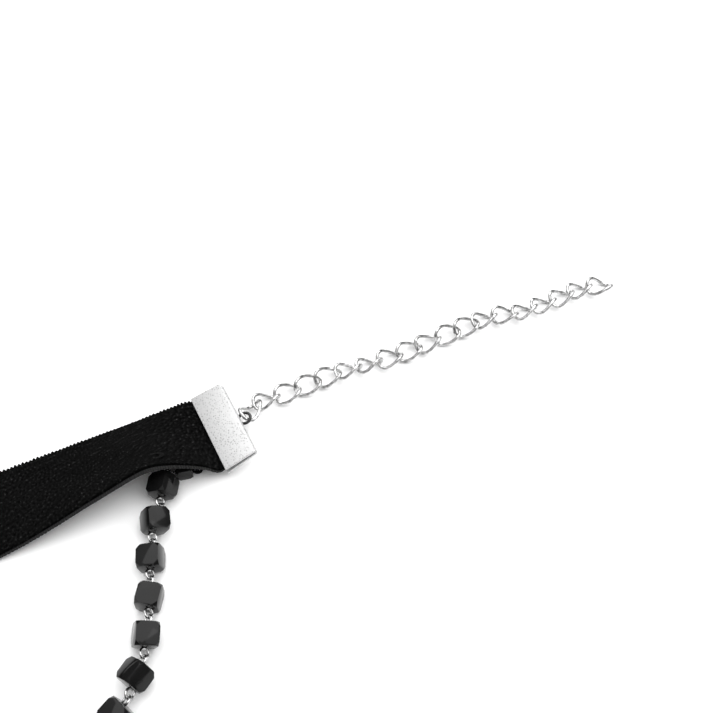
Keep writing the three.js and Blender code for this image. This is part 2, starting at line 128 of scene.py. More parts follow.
class Shader:
    """One material with its Principled shader."""

    def __init__(self, name: str, constants: dict[str, object]) -> None:
        """Makes the material.

        Args:
            name: the material's name.
            constants: values set on the shader's own sockets.
        """
        self.material = bpy.data.materials.new(name)
        self.material.use_nodes = True
        self.nodes = self.material.node_tree.nodes
        self.links = self.material.node_tree.links
        self.surface = self.nodes["Principled BSDF"]
        for socket, value in constants.items():
            self.surface.inputs[socket].default_value = value

    def node(self, kind: str, settings: dict[str, object], inputs: dict[int | str, object],
             output: int | str = 0) -> Value:
        """Adds a node, its settings first and then its sockets.

        Args:
            kind: the node's type.
            settings: attributes of the node; "stops" sets a ramp's stops.
            inputs: a value or a Value for each socket.
            output: the socket that is returned.

        Returns:
            The chosen output.
        """
        node = self.nodes.new(kind)
        for key, value in settings.items():
            if key == "stops":
                self.set_stops(node.color_ramp, value)
            else:
                setattr(node, key, value)
        for key, value in inputs.items():
            if isinstance(value, Value):
                self.links.new(value.socket, node.inputs[key])
            else:
                node.inputs[key].default_value = value
        return Value(self, node.outputs[output])

    @staticmethod
    def set_stops(ramp: bpy.types.ColorRamp, stops: Sequence[tuple[float, tuple]]) -> None:
        """Sets a colour ramp's stops.

        Args:
            ramp: the colour ramp.
            stops: place and colour of each stop.
        """
        while len(ramp.elements) < len(stops):
            ramp.elements.new(1)
        for element, (place, colour) in zip(ramp.elements, stops):
            element.position = place
            element.color = colour

    def place(self, kind: str = "Object") -> Value:
        """Texture coordinates of one kind."""
        return self.node("ShaderNodeTexCoord", {}, {}, kind)

    def noise(self, place: Value, scale: float, detail: float = 2.0) -> Value:
        """Soft noise from 0 to 1."""
        return self.node("ShaderNodeTexNoise", {}, {"Vector": place, "Scale": scale, "Detail": detail})

    def ripple(self, place: Value, frequency: float) -> Value:
        """A soft wave from 0 to 1 along the first coordinate.

        Args:
            place: the coordinates.
            frequency: turns of the wave for one unit, in radians.

        Returns:
            The wave.
        """
        along = self.node("ShaderNodeSeparateXYZ", {}, {0: place})
        wave = self.node("ShaderNodeMath", {"operation": "SINE"}, {0: along * frequency})
        return 0.5 + 0.5 * wave

    def mix(self, share: Value, low: tuple, high: tuple | Value) -> Value:
        """A colour between two, by share.

        Args:
            share: 0 for low and 1 for high.
            low: the colour at 0.
            high: the colour at 1.

        Returns:
            The mixed colour.
        """
        settings = {"data_type": "RGBA", "clamp_factor": True}
        return self.node("ShaderNodeMix", settings, {0: share, 6: low, 7: high}, 2)

    def bump(self, height: Value, distance: float, strength: float) -> None:
        """Feeds a height into the surface's normal."""
        inputs = {"Height": height, "Distance": distance, "Strength": strength}
        self.feed("Normal", self.node("ShaderNodeBump", {}, inputs))

    def feed(self, socket: str, value: Value) -> None:
        """Links a value to a socket of the surface."""
        self.links.new(value.socket, self.surface.inputs[socket])


def grey(level: float) -> tuple[float, float, float, float]:
    """A neutral colour of one level."""
    return (level, level, level, 1.0)


# Finishes


@dataclass(frozen=True)
class VelvetFinish:
    """Black pile with a fine fleck, painted sheen patches and painted shade along the groove, and a greyer
    woven selvage, scaled for 10 cm of cloth.
    """

    deep: float = 0.0004
    lit: float = 0.005
    selvage: float = 0.031
    lint: float = 0.05
    rib_pitch: float = 0.42
    pile_scale: float = 215.0
    weave_scale: float = 180.0
    fleck_scale: float = 210.0
    sheen_patch_scale: float = 9.0
    pile_contrast: float = 2.6
    pile_threshold: float = 0.82
    sheen_patch_floor: float = 0.2
    sheen_patch_gain: float = 1.6
    fleck_power: float = 9.0
    rib_share: float = 0.6
    band_dark: float = 0.5
    band_light: float = 1.3
    bump_height: float = 0.00012
    bump_strength: float = 0.8

    def build(self) -> bpy.types.Material:
        """Makes the velvet material.

        Returns:
            The material.
        """
        shader = Shader("velvet_pile", {
            "Roughness": 0.95, "Specular IOR Level": 0.02,
            "Sheen Weight": 0.003, "Sheen Roughness": 0.5, "Sheen Tint": (1, 1, 1, 1)})
        place = shader.place("UV")
        pile = shader.noise(place, self.pile_scale, 3.0)
        sheen_patches = shader.noise(place, self.sheen_patch_scale, 3.0)
        fleck = shader.noise(place, self.fleck_scale, 1.0)
        edge = shader.node("ShaderNodeAttribute", {"attribute_name": "selvage"}, {}, "Fac")
        # The broad soft noise lightens the pile in patches: painted sheen where the pile catches the light.
        sheen_patch_level = self.sheen_patch_floor + self.sheen_patch_gain * sheen_patches
        # Where the selvage attribute is -1 the pile drops to its deep colour: painted shade along the groove
        # above the selvage.
        pile_sheen_and_groove_shade = (self.pile_contrast * pile - self.pile_threshold) * sheen_patch_level * (1.0 + edge)
        base = shader.mix(pile_sheen_and_groove_shade, grey(self.deep), grey(self.lit))
        specks = (fleck ** self.fleck_power) * self.fleck_power * pile
        dusted = shader.mix(specks, grey(0.0), grey(self.lint))
        summed = shader.node("ShaderNodeMix", {"data_type": "RGBA", "blend_type": "ADD"},
                             {0: 1.0, 6: base, 7: dusted}, 2)
        weave = shader.noise(place, self.weave_scale, 2.0)
        rib = shader.ripple(place, 2 * math.pi / (UV_PER_MM * self.rib_pitch))
        woven = (1 - self.rib_share) * weave + self.rib_share * rib
        band = shader.mix(woven, grey(self.band_dark * self.selvage), grey(self.band_light * self.selvage))
        final = shader.node("ShaderNodeMix", {"data_type": "RGBA"}, {0: edge, 6: summed, 7: band}, 2)
        shader.feed("Base Color", final)
        shader.bump(pile, self.bump_height, self.bump_strength)
        return shader.material


@dataclass(frozen=True)
class DimpledFinish:
    """Satin silver-toned sheet with a fine stamped dimple all over, its pits painted darker as painted
    shade.
    """

    colour: float = 0.645
    shade: float = 0.24
    dimple_scale: float = 2600.0
    cloud_scale: float = 260.0
    randomness: float = 0.8
    pit_reach: float = 1.6
    pit_power: float = 3.0
    pit_gain: float = 3.2
    rough: float = 0.5
    rough_cloud: float = 0.14
    grain_share: float = 0.35
    depth: float = 0.00004
    bump_strength: float = 0.4

    def build(self) -> bpy.types.Material:
        """Makes the dimpled metal.

        Returns:
            The material.
        """
        shader = Shader("dimpled_metal", {"Metallic": 0.85})
        place = shader.place()
        cell = shader.node("ShaderNodeTexVoronoi", {"feature": "F1"},
                           {"Vector": place, "Scale": self.dimple_scale, "Randomness": self.randomness})
        cloud = shader.noise(place, self.cloud_scale, 2.0)
        grain = shader.noise(place, 2 * self.dimple_scale, 1.0)
        pit = (1.0 - self.pit_reach * cell) ** self.pit_power
        # The dimple pits are mixed toward the shade colour: painted shade in the hollows.
        shaded = shader.mix(pit * cloud * self.pit_gain, grey(self.colour), grey(self.shade))
        shader.feed("Base Color", shaded)
        shader.feed("Roughness", self.rough + self.rough_cloud * cloud)
        shader.bump(cell + self.grain_share * grain, self.depth, self.bump_strength)
        return shader.material


@dataclass(frozen=True)
class WireFinish:
    """Polished silver-toned wire with faint drawing marks in its bump and roughness, and darker spots
    painted into its colour as painted reflection of dark surroundings.
    """

    name: str = "bright_metal"
    colour: float = 0.8
    shade: float = 0.25
    scale: float = 1500.0
    contrast: float = 2.4
    threshold: float = 0.7
    rough: float = 0.08
    rough_cloud: float = 0.16
    depth: float = 0.00007
    bump_strength: float = 0.5

    def build(self) -> bpy.types.Material:
        """Makes the wire metal.

        Returns:
            The material.
        """
        shader = Shader(self.name, {"Metallic": 1.0})
        cloud = shader.noise(shader.place(), self.scale, 2.0)
        # The noise paints darker spots into the colour: painted reflections of dark surroundings on the
        # wire.
        mark = self.contrast * cloud - self.threshold
        shader.feed("Base Color", shader.mix(mark, grey(self.shade), grey(self.colour)))
        shader.feed("Roughness", self.rough + self.rough_cloud * cloud)
        shader.bump(cloud, self.depth, self.bump_strength)
        return shader.material


@dataclass(frozen=True)
class GlassFinish:
    """Opaque black cut glass."""

    deep: float = 0.004
    lit: float = 0.009
    scale: float = 420.0
    rough: float = 0.07
    rough_cloud: float = 0.06

    def build(self) -> bpy.types.Material:
        """Makes the black glass.

        Returns:
            The material.
        """
        shader = Shader("black_glass", {"IOR": 1.5, "Specular IOR Level": 0.22})
        cloud = shader.noise(shader.place(), self.scale, 1.0)
        shader.feed("Base Color", shader.mix(cloud, grey(self.deep), grey(self.lit)))
        shader.feed("Roughness", self.rough + self.rough_cloud * cloud)
        return shader.material


@dataclass(frozen=True)
class ThreadFinish:
    """Matt black twisted thread."""

    level: float = 0.0016
    scale: float = 2600.0

    def build(self) -> bpy.types.Material:
        """Makes the thread.

        Returns:
            The material.
        """
        shader = Shader("black_thread", {"Roughness": 0.88, "Specular IOR Level": 0.11})
        grain = shader.noise(shader.place(), self.scale, 1.0)
        shader.feed("Base Color", shader.mix(grain, grey(0.5 * self.level), grey(2 * self.level)))
        return shader.material


@dataclass(frozen=True)
class TableFinish:
    """Matt white table."""

    level: float = 0.98

    def build(self) -> bpy.types.Material:
        """Makes the table's white."""
        return Shader("white_table", {
            "Base Color": grey(self.level), "Roughness": 0.9, "Specular IOR Level": 0.1}).material


# Modelling bench


class Bench:
    """Primitives, edit mode and modifiers, always on one object at a time."""

    @staticmethod
    def fresh(name: str, add: Callable[..., object], **settings: object) -> bpy.types.Object:
        """Adds one primitive with nothing else selected.

        Args:
            name: the new object's name.
            add: the operator that adds it.
            settings: the operator's own settings.

        Returns:
            The new object.
        """
        bpy.ops.object.select_all(action="DESELECT")
        add(**settings)
        made = bpy.context.active_object
        made.name = name
        made.data.name = name
        return made

    @staticmethod
    def only(piece: bpy.types.Object) -> None:
        """Leaves one piece selected and active.

        Args:
            piece: the object.
        """
        bpy.ops.object.select_all(action="DESELECT")
        bpy.context.view_layer.objects.active = piece
        piece.select_set(True)

    @staticmethod
    @contextmanager
    def edit(piece: bpy.types.Object) -> Iterator[None]:
        """Edit mode on one piece, with nothing selected at the start.

        Args:
            piece: the object.

        Returns:
            Control to the block inside, in edit mode.
        """
        Bench.only(piece)
        bpy.ops.object.mode_set(mode="EDIT")
        bpy.ops.mesh.select_all(action="DESELECT")
        yield
        bpy.ops.object.mode_set(mode="OBJECT")

    @staticmethod
    def pick(piece: bpy.types.Object, kind: str, chosen: Callable[[object], bool]) -> None:
        """Selects only the faces, edges or verts that pass a test, in edit mode.

        Args:
            piece: the object.
            kind: faces, edges or verts.
            chosen: the test of one element.
        """
        bpy.ops.mesh.select_mode(type={"faces": "FACE", "edges": "EDGE", "verts": "VERT"}[kind])
        bpy.ops.mesh.select_all(action="DESELECT")
        mesh = bmesh.from_edit_mesh(piece.data)
        for element in getattr(mesh, kind):
            if chosen(element):
                element.select = True
        if kind != "faces":
            mesh.select_flush(True)
        bmesh.update_edit_mesh(piece.data)

    @staticmethod
    def modify(piece: bpy.types.Object, kind: str, **settings: object) -> None:
        """Adds a modifier and applies it.

        Args:
            piece: the object.
            kind: the modifier's type.
            settings: the modifier's own settings.
        """
        Bench.only(piece)
        modifier = piece.modifiers.new(kind.lower(), kind)
        for key, value in settings.items():
            setattr(modifier, key, value)
        bpy.ops.object.modifier_apply(modifier=modifier.name)

    @staticmethod
    def round_edges(piece: bpy.types.Object, width: float, segments: int, degrees: float) -> None:
        """Rounds the edges over an angle."""
        Bench.modify(piece, "BEVEL", width=width, segments=segments, limit_method="ANGLE",
                     angle_limit=math.radians(degrees))

    @staticmethod
    def smooth(piece: bpy.types.Object, degrees: float) -> None:
        """Smooth shading with sharp edges over an angle."""
        Bench.only(piece)
        bpy.ops.object.shade_smooth_by_angle(angle=math.radians(degrees))

    @staticmethod
    def copy(piece: bpy.types.Object, name: str, matrix: Matrix) -> bpy.types.Object:
        """A copy with its own mesh, placed in that mesh.

        Args:
            piece: the object that is copied.
            name: the copy's name.
            matrix: the place in millimetres on the table.

        Returns:
            The copy.
        """
        made = bpy.data.objects.new(name, piece.data.copy())
        made.data.name = name
        bpy.context.scene.collection.objects.link(made)
        made.data.transform(TO_ROW @ matrix)
        return made

    @staticmethod
    def join(pieces: Sequence[bpy.types.Object], name: str) -> bpy.types.Object:
        """Joins pieces into the first one.

        Args:
            pieces: the objects.
            name: the whole's name.

        Returns:
            The first piece, now the whole.
        """
        bpy.ops.object.select_all(action="DESELECT")
        for piece in pieces:
            piece.select_set(True)
        bpy.context.view_layer.objects.active = pieces[0]
        if len(pieces) > 1:
            bpy.ops.object.join()
        pieces[0].name = name
        pieces[0].data.name = name
        return pieces[0]

    @staticmethod
    def drop(piece: bpy.types.Object) -> None:
        """Removes a master that was only there to be copied."""
        bpy.data.objects.remove(piece, do_unlink=True)

    @staticmethod
    def wire_loop(name: str, line: Callable[[float], Vector], wire: float,
                  cuts: int, sides: int = 3) -> bpy.types.Object:
        """A closed loop of round wire, bent from a curve circle.

        Args:
            name: the loop's name.
            line: the wire's centre line by angle, in millimetres.
            wire: the wire's thickness.
            cuts: cuts in each quarter of the circle.
            sides: bevel resolution of the round section.

        Returns:
            The loop as a mesh.
        """
        loop = Bench.fresh(name, bpy.ops.curve.primitive_bezier_circle_add, radius=1.0)
        bpy.ops.object.mode_set(mode="EDIT")
        bpy.ops.curve.select_all(action="SELECT")
        bpy.ops.curve.subdivide(number_cuts=cuts)
        bpy.ops.object.mode_set(mode="OBJECT")
        points = loop.data.splines[0].bezier_points
        for i, point in enumerate(points):
            point.handle_left_type = "AUTO"
            point.handle_right_type = "AUTO"
            point.co = line(2 * math.pi * i / len(points))
        loop.data.dimensions = "3D"
        loop.data.resolution_u = CURVE_STEPS
        loop.data.bevel_depth = wire / 2
        loop.data.bevel_resolution = sides
        bpy.ops.object.convert(target="MESH")
        return bpy.context.active_object


def finished(piece: bpy.types.Object, material: bpy.types.Material, slot: Slot,
             *nodes: str) -> bpy.types.Object:
    """Dresses a piece, lets it ride on the body and hides the nodes that it stands for.

    Args:
        piece: the object.
        material: its material.
        slot: the record's slot; not used.
        nodes: the nodes that it replaces.

    Returns:
        The same object.
    """
    piece.data.materials.clear()
    piece.data.materials.append(material)
    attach(piece, "root")
    if nodes:
        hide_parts(*nodes)
    LOG.info("%s: %d faces", piece.name, len(piece.data.polygons))
    return piece


# Tables and lines


def smoothstep(share: float) -> float:
    """A share from 0 to 1 with level ends."""
    return share * share * (3 - 2 * share)


def round_line(radius: float) -> Callable[[float], Vector]:
    """The centre line of a flat round ring, by angle."""
    return lambda angle: Vector((radius * math.cos(angle), radius * math.sin(angle), 0))


def between(rows: Sequence[tuple], column: int, at: float) -> float:
    """A column of a table at a place between its rows.

    Args:
        rows: rows whose first column grows.
        column: the column that is read.
        at: the place in the first column.

    Returns:
        The value, straight between two rows.
    """
    if at <= rows[0][0]:
        return rows[0][column]
    for low, high in zip(rows, rows[1:]):
        if high[0] > at:
            share = (at - low[0]) / (high[0] - low[0])
            return low[column] + share * (high[column] - low[column])
    return rows[-1][column]


def smooth_route(points: Sequence[Vector], per_span: int = 150) -> list[Vector]:
    """Dense points of a smooth line through chosen points.

    Args:
        points: the chosen points.
        per_span: points between two chosen ones.

    Returns:
        The dense points.
    """
    route = [2 * points[0] - points[1], *points, 2 * points[-1] - points[-2]]
    dense = []
    for a, b, c, d in zip(route, route[1:], route[2:], route[3:]):
        ab, bc, cd = (math.sqrt((q - p).length) for p, q in ((a, b), (b, c), (c, d)))
        start = ((b - a) / ab - (c - a) / (ab + bc) + (c - b) / bc) * bc
        stop = ((c - b) / bc - (d - b) / (bc + cd) + (d - c) / cd) * bc
        for i in range(per_span):
            t = i / per_span
            dense.append(b + start * t + (3 * (c - b) - 2 * start - stop) * t * t
                         + (2 * (b - c) + start + stop) * t ** 3)
    return [*dense, points[-1].copy()]


def walk(samples: Sequence[Vector], pitch: float, count: int) -> list[Vector]:
    """Points one pitch apart along a line, straight on past its end.

    Args:
        samples: dense points of the line.
        pitch: straight distance between two points.
        count: number of steps.

    Returns:
        One point more than the steps.
    """
    points = [samples[0].copy()]
    i = 1
    while len(points) <= count and i < len(samples):
        before = (samples[i - 1] - points[-1]).length
        after = (samples[i] - points[-1]).length
        if after >= pitch:
            points.append(samples[i - 1].lerp(samples[i], (pitch - before) / (after - before)))
        else:
            i += 1
    while len(points) <= count:
        points.append(points[-1] + (points[-1] - points[-2]).normalized() * pitch)
    return points


def frame_matrix(origin: Vector, x: Vector, y: Vector, z: Vector) -> Matrix:
    """A placing matrix from an origin and three directions.

    Args:
        origin: where the origin goes.
        x: direction of X.
        y: direction of Y.
        z: direction of Z.

    Returns:
        The placing matrix.
    """
    columns = (*[axis.to_4d() for axis in (x, y, z)], origin.to_4d())
    matrix = Matrix(columns).transposed()
    matrix[3] = (0, 0, 0, 1)
    return matrix


def line_frame(start: Vector, stop: Vector, roll: float) -> Matrix:
    """A frame whose X runs from one point to the other, rolled about that line.

    Args:
        start: first point.
        stop: second point.
        roll: degrees about the line.

    Returns:
        The placing matrix, its origin midway.
    """
    x = (stop - start).normalized()
    y = Z_AXIS.cross(x).normalized()
    placed = frame_matrix((start + stop) / 2, x, y, x.cross(y))
    return placed @ Matrix.Rotation(math.radians(roll), 4, "X")


def flat_point(place: Vector, height: float) -> Vector:
    """The same place at another height."""
    return Vector((place.x, place.y, height))


# Ribbon


@dataclass(frozen=True)
class Station:
    """A place on the ribbon's upper edge with the ribbon's directions there."""

    point: Vector
    along: Vector
    across: Vector
    normal: Vector


@dataclass
class Course:
    """The line that the ribbon lies on and how it leans, in millimetres."""

    length: float = 275.0
    width: float = 15.9
    thick: float = 1.3
    start: tuple[float, float] = (-30.5, -11.0)
    plan_step: float = 0.5
    easing: float = 0.08
    gap: float = 0.02
    crimp_pitch: float = 12.7
    turns: tuple = ((0, 204.6), (0.16, 204.6), (0.29, 218), (0.72, 366), (0.84, 380), (1, 380))
    leans: tuple = (
        (0, 0.5, 0.022), (0.19, 11.5, 0.017), (0.38, 18.7, 0.01), (0.57, 24, 0.004),
        (0.75, 27, 0), (0.94, 25.8, 0), (1.13, 23.1, 0), (1.51, 17.8, 0), (1.89, 11.2, 0),
        (2.26, 5.1, 0), (2.6, 1, 0), (2.9, 4, 0), (3.4, 24, 0), (4, 58, 0), (4.6, 83, 0), (5, 90, 0),
    )
    plan: list[Vector] = field(default_factory=list)

    def __post_init__(self) -> None:
        """Works out the plan of the upper edge."""
        self.plan.append(Vector((*self.start, 0)))
        for i in range(round(self.length / self.plan_step)):
            share = (i + 0.5) * self.plan_step / self.length
            turn = math.radians(between(self.turns, 1, share))
            step = self.plan_step * Vector((math.cos(turn), math.sin(turn), 0))
            self.plan.append(self.plan[-1] + step)

    def eased(self, column: int, at: float) -> float:
        """A column of the leans, with its corners eased."""
        parts = (-1, -0.5, 0, 0.5, 1)
        return sum(between(self.leans, column, abs(at + part * self.easing)) for part in parts) / len(parts)

    def station(self, distance: float) -> Station:
        """The ribbon at a distance from the chain crimp's mouth, on into the crimps past the ends.

        Args:
            distance: from the chain crimp's mouth; past the ends it is in the crimps.

        Returns:
            The ribbon's place and directions.
        """
        s = min(max(distance, 0), self.length)
        turn = math.radians(between(self.turns, 1, s / self.length))
        from_end = min(s, self.length - s) / self.width
        lean = math.radians(self.eased(1, from_end))
        along = Vector((math.cos(turn), math.sin(turn), 0))
        across = Z_AXIS.cross(along) * math.cos(lean) + Z_AXIS * math.sin(lean)
        i = min(int(s / self.plan_step), len(self.plan) - 2)
        point = self.plan[i].lerp(self.plan[i + 1], s / self.plan_step - i)
        point.z = self.thick / 2 * math.cos(lean) + self.eased(2, from_end) * self.width + self.gap
        made = Station(point, along, across, along.cross(across))
        if distance == s:
            return made
        axes = self.crimp_axes(End.CHAIN if distance < 0 else End.CLASP)
        return Station(point + axes.along * abs(distance - s), along, across, axes.normal)

    def crimp_axes(self, end: End) -> Station:
        """Middle and directions of the crimp at one end; along points out of the ribbon.

        Args:
            end: the ribbon's end.

        Returns:
            The crimp's middle and directions.
        """
        mouth = self.station(end.value * self.length)
        flat = mouth.along * (2 * end.value - 1)
        pitch = math.radians(self.crimp_pitch)
        out = flat * math.cos(pitch) + mouth.normal * math.sin(pitch)
        normal = mouth.normal * math.cos(pitch) - flat * math.sin(pitch)
        return Station(mouth.point + mouth.across * self.width / 2, out, mouth.across, normal)

    def under(self, end: End, inwards: float, across: float) -> Vector:
        """A place under the flat end, both distances as shares of the width.

        Args:
            end: the ribbon's end.
            inwards: from that end.
            across: from the upper edge.

        Returns:
            The place on the ribbon's underside.
        """
        inner = abs(end.value * self.length - inwards * self.width)
        here = self.station(inner)
        return here.point + here.across * across * self.width - here.normal * self.thick / 2


@dataclass
class Ribbon:
    """Velvet ribbon: pile on its outer side, toothed selvage along both edges."""

    course: Course
    grip: float = 4.2
    crushed: float = 0.62
    pinch: float = 0.22
    climb: float = 0.42
    tooth_pitch: float = 0.68
    tooth_depth: float = 0.58
    tooth_shape: tuple = (0.0, 0.75, 1.0, 0.7)
    tooth_least: float = 0.6
    upright: float = 0.6
    flare: float = 0.5
    flare_reach: float = 2.4
    flare_near: float = 0.15
    swell: float = 1.3
    ripple: float = 0.1
    ripple_limit: float = 0.6
    ripple_turns: tuple[float, float] = (0.21, 0.7)
    pile_margins: tuple[float, float] = (0.3, 0.45)
    pile_columns: int = 10
    back_margin: float = 0.3
    back_columns: int = 6
    sharp_angle: float = 50.0
    # Edge rows: place past the edge, tooth's share, height's share, selvage (-1 darkens the pile to paint
    # shade along the groove)
    far_edge: tuple = (
        (-0.16, 0.0, 0.86, -1.0), (-0.02, 0.0, 0.55, -1.0), (-0.4, 0.0, 0.42, -1.0),
        (-0.02, 0.2, 0.22, 1.0), (0.04, 0.2, -0.7, 1.0), (-0.1, 0.0, -0.94, 1.0))
    near_edge: tuple = (
        (0.1, 0.0, -0.92, 1.0), (0.0, -1.0, 0.05, 0.08), (0.0, -1.0, 0.6, 0.08),
        (0.06, 0.0, 0.74, 0.0), (0.14, 0.0, 0.94, 0.0))

    def thickness(self, distance: float) -> float:
        """Thickness at a distance, pressed flat inside the crimps.

        Args:
            distance: from the chain crimp's mouth.

        Returns:
            The thickness.
        """
        from_end = min(distance, self.course.length - distance)
        if from_end < 0:
            return self.crushed - self.pinch * min(-from_end / self.grip, 1)
        return self.crushed + (self.course.thick - self.crushed) * smoothstep(min(from_end / self.swell, 1))

    def spread(self, here: Station, distance: float, across: float) -> float:
        """Place of a point across the ribbon, flared at the crimps and drawn in where teeth touch the table.

        Args:
            here: the ribbon's directions.
            distance: from the chain crimp's mouth.
            across: the point's place on the plain band.

        Returns:
            The place across.
        """
        drawn = self.tooth_depth * max(0.0, (here.across.z - self.upright) / (1 - self.upright))
        from_end = max(min(distance, self.course.length - distance), 0)
        flared = self.flare * smoothstep(max(1 - from_end / self.flare_reach, 0))
        far = across / self.course.width
        return across + drawn * (1 - far) + flared * (self.flare_near + (1 - self.flare_near) * far)

    def section(self, distance: float, tooth: float) -> list[tuple[float, float, float]]:
        """Outline of the ribbon.

        Args:
            distance: from the chain crimp's mouth.
            tooth: how far the selvage stands out here.

        Returns:
            Across, height and selvage share of each point; -1 marks the painted shade along the groove.
        """
        width = self.course.width
        half = self.thickness(distance) / 2
        near, far = self.pile_margins
        pile_step = (width - near - far) / (self.pile_columns - 1)
        back_step = (width - 2 * self.back_margin) / (self.back_columns - 1)
        wave = self.ripple * min(half, self.ripple_limit)
        along_turn, across_turn = self.ripple_turns
        outline = []
        for i in range(self.pile_columns):
            place = near + pile_step * i
            swing = math.sin(along_turn * distance + across_turn * place)
            outline.append((place, half + wave * swing - wave, 0.0))
        outline += [(width + past + grow * tooth, share * half, selvage)
                    for past, grow, share, selvage in self.far_edge]
        outline += [(width - self.back_margin - back_step * i, -half, 1.0) for i in range(self.back_columns)]
        outline += [(past + grow * tooth, share * half, selvage)
                    for past, grow, share, selvage in self.near_edge]
        return outline

    def build(self, material: bpy.types.Material) -> bpy.types.Object:
        """Lofts the ribbon through its sections.

        Args:
            material: the velvet.

        Returns:
            The finished ribbon.
        """
        rng = random.Random(SEED)
        per_tooth = len(self.tooth_shape)
        step = self.tooth_pitch / per_tooth
        count = round((self.course.length + 2 * self.grip) / step)
        rows, shares = [], []
        heights = [rng.uniform(self.tooth_least, 1.0) for _ in range(count // per_tooth + 2)]
        for i in range(count + 1):
            distance = -self.grip + i * step
            tooth = self.tooth_depth * heights[i // per_tooth] * self.tooth_shape[i % per_tooth]
            if not 0 < distance < self.course.length:
                tooth = 0.0
            here = self.course.station(min(distance, self.course.length + self.grip))
            outline = self.section(distance, tooth)
            inside = max(-distance, distance - self.course.length, 0) / self.grip
            point = here.point + here.normal * self.climb * min(inside, 1)
            rows.append([point + here.across * self.spread(here, distance, w) + here.normal * n
                         for w, n, _ in outline])
            shares.append([s for _, _, s in outline])
        return self.skin(rows, shares, step, material)

    def skin(self, rows: list[list[Vector]], shares: list[list[float]], step: float,
             material: bpy.types.Material) -> bpy.types.Object:
        """Closes the rows into one mesh with its map and its selvage attribute, which also carries the
        painted groove shade.

        Args:
            rows: the sections' points.
            shares: the selvage share of each point, -1 where shade is painted along the groove.
            step: distance between two sections.
            material: the velvet.

        Returns:
            The finished ribbon.
        """
        sides = len(rows[0])
        verts = [TO_ROW @ point for row in rows for point in row]
        faces = [(i * sides + j, (i + 1) * sides + j, (i + 1) * sides + (j + 1) % sides,
                  i * sides + (j + 1) % sides)
                 for i in range(len(rows) - 1) for j in range(sides)]
        last = (len(rows) - 1) * sides
        faces += [tuple(range(sides)), tuple(last + j for j in reversed(range(sides)))]
        mesh = bpy.data.meshes.new("ribbon_velvet")
        mesh.from_pydata(verts, [], faces)
        middle = rows[len(rows) // 2]
        around = [0.0]
        for j in range(sides):
            around.append(around[-1] + (middle[(j + 1) % sides] - middle[j]).length)
        chart = mesh.uv_layers.new(name="lay")
        for polygon in mesh.polygons:
            wrapped = any(mesh.loops[k].vertex_index % sides == sides - 1 for k in polygon.loop_indices)
            for k in polygon.loop_indices:
                i, j = divmod(mesh.loops[k].vertex_index, sides)
                over = around[sides] if wrapped and j == 0 else around[j]
                chart.data[k].uv = (UV_PER_MM * i * step, UV_PER_MM * over)
        mark = mesh.attributes.new("selvage", "FLOAT", "POINT")
        mark.data.foreach_set("value", [share for row in shares for share in row])
        piece = bpy.data.objects.new("ribbon_velvet", mesh)
        bpy.context.scene.collection.objects.link(piece)
        with Bench.edit(piece):
            bpy.ops.mesh.select_all(action="SELECT")
            bpy.ops.mesh.normals_make_consistent(inside=False)
        Bench.smooth(piece, self.sharp_angle)
        return finished(piece, material, Slot.VELVET, "ribbon")


@dataclass
class Knot:
    """Small oval loop of the thread, pressed into the ribbon's pile."""

    course: Course
    inwards: float = 10.0
    across: float = 13.0
    size: tuple[float, float, float] = (3.3, 1.9, 0.5)
    strand: float = 0.13
    sunk: float = 0.03

    def build(self, material: bpy.types.Material) -> bpy.types.Object:
        """Presses the knot into the pile.

        Args:
            material: the thread.

        Returns:
            The finished loop.
        """
        here = self.course.station(self.inwards)
        loop = Bench.fresh("knot", bpy.ops.mesh.primitive_torus_add, major_segments=40, minor_segments=10,
                           major_radius=0.5 - self.strand, minor_radius=self.strand)
        with Bench.edit(loop):
            bpy.ops.mesh.select_all(action="SELECT")
            bpy.ops.transform.resize(value=self.size)
        Bench.smooth(loop, ROUND_ANGLE)
        height = self.course.thick / 2 - self.sunk
        top = here.point + here.across * self.across + here.normal * height
        side = Vector((1, 0, 0))
        tangent = (side - here.normal * side.dot(here.normal)).normalized()
        matrix = frame_matrix(top, tangent, here.normal.cross(tangent), here.normal)
        piece = Bench.copy(loop, "thread_knot", matrix)
        Bench.drop(loop)
        return finished(piece, material, Slot.THREAD)


# Crimps


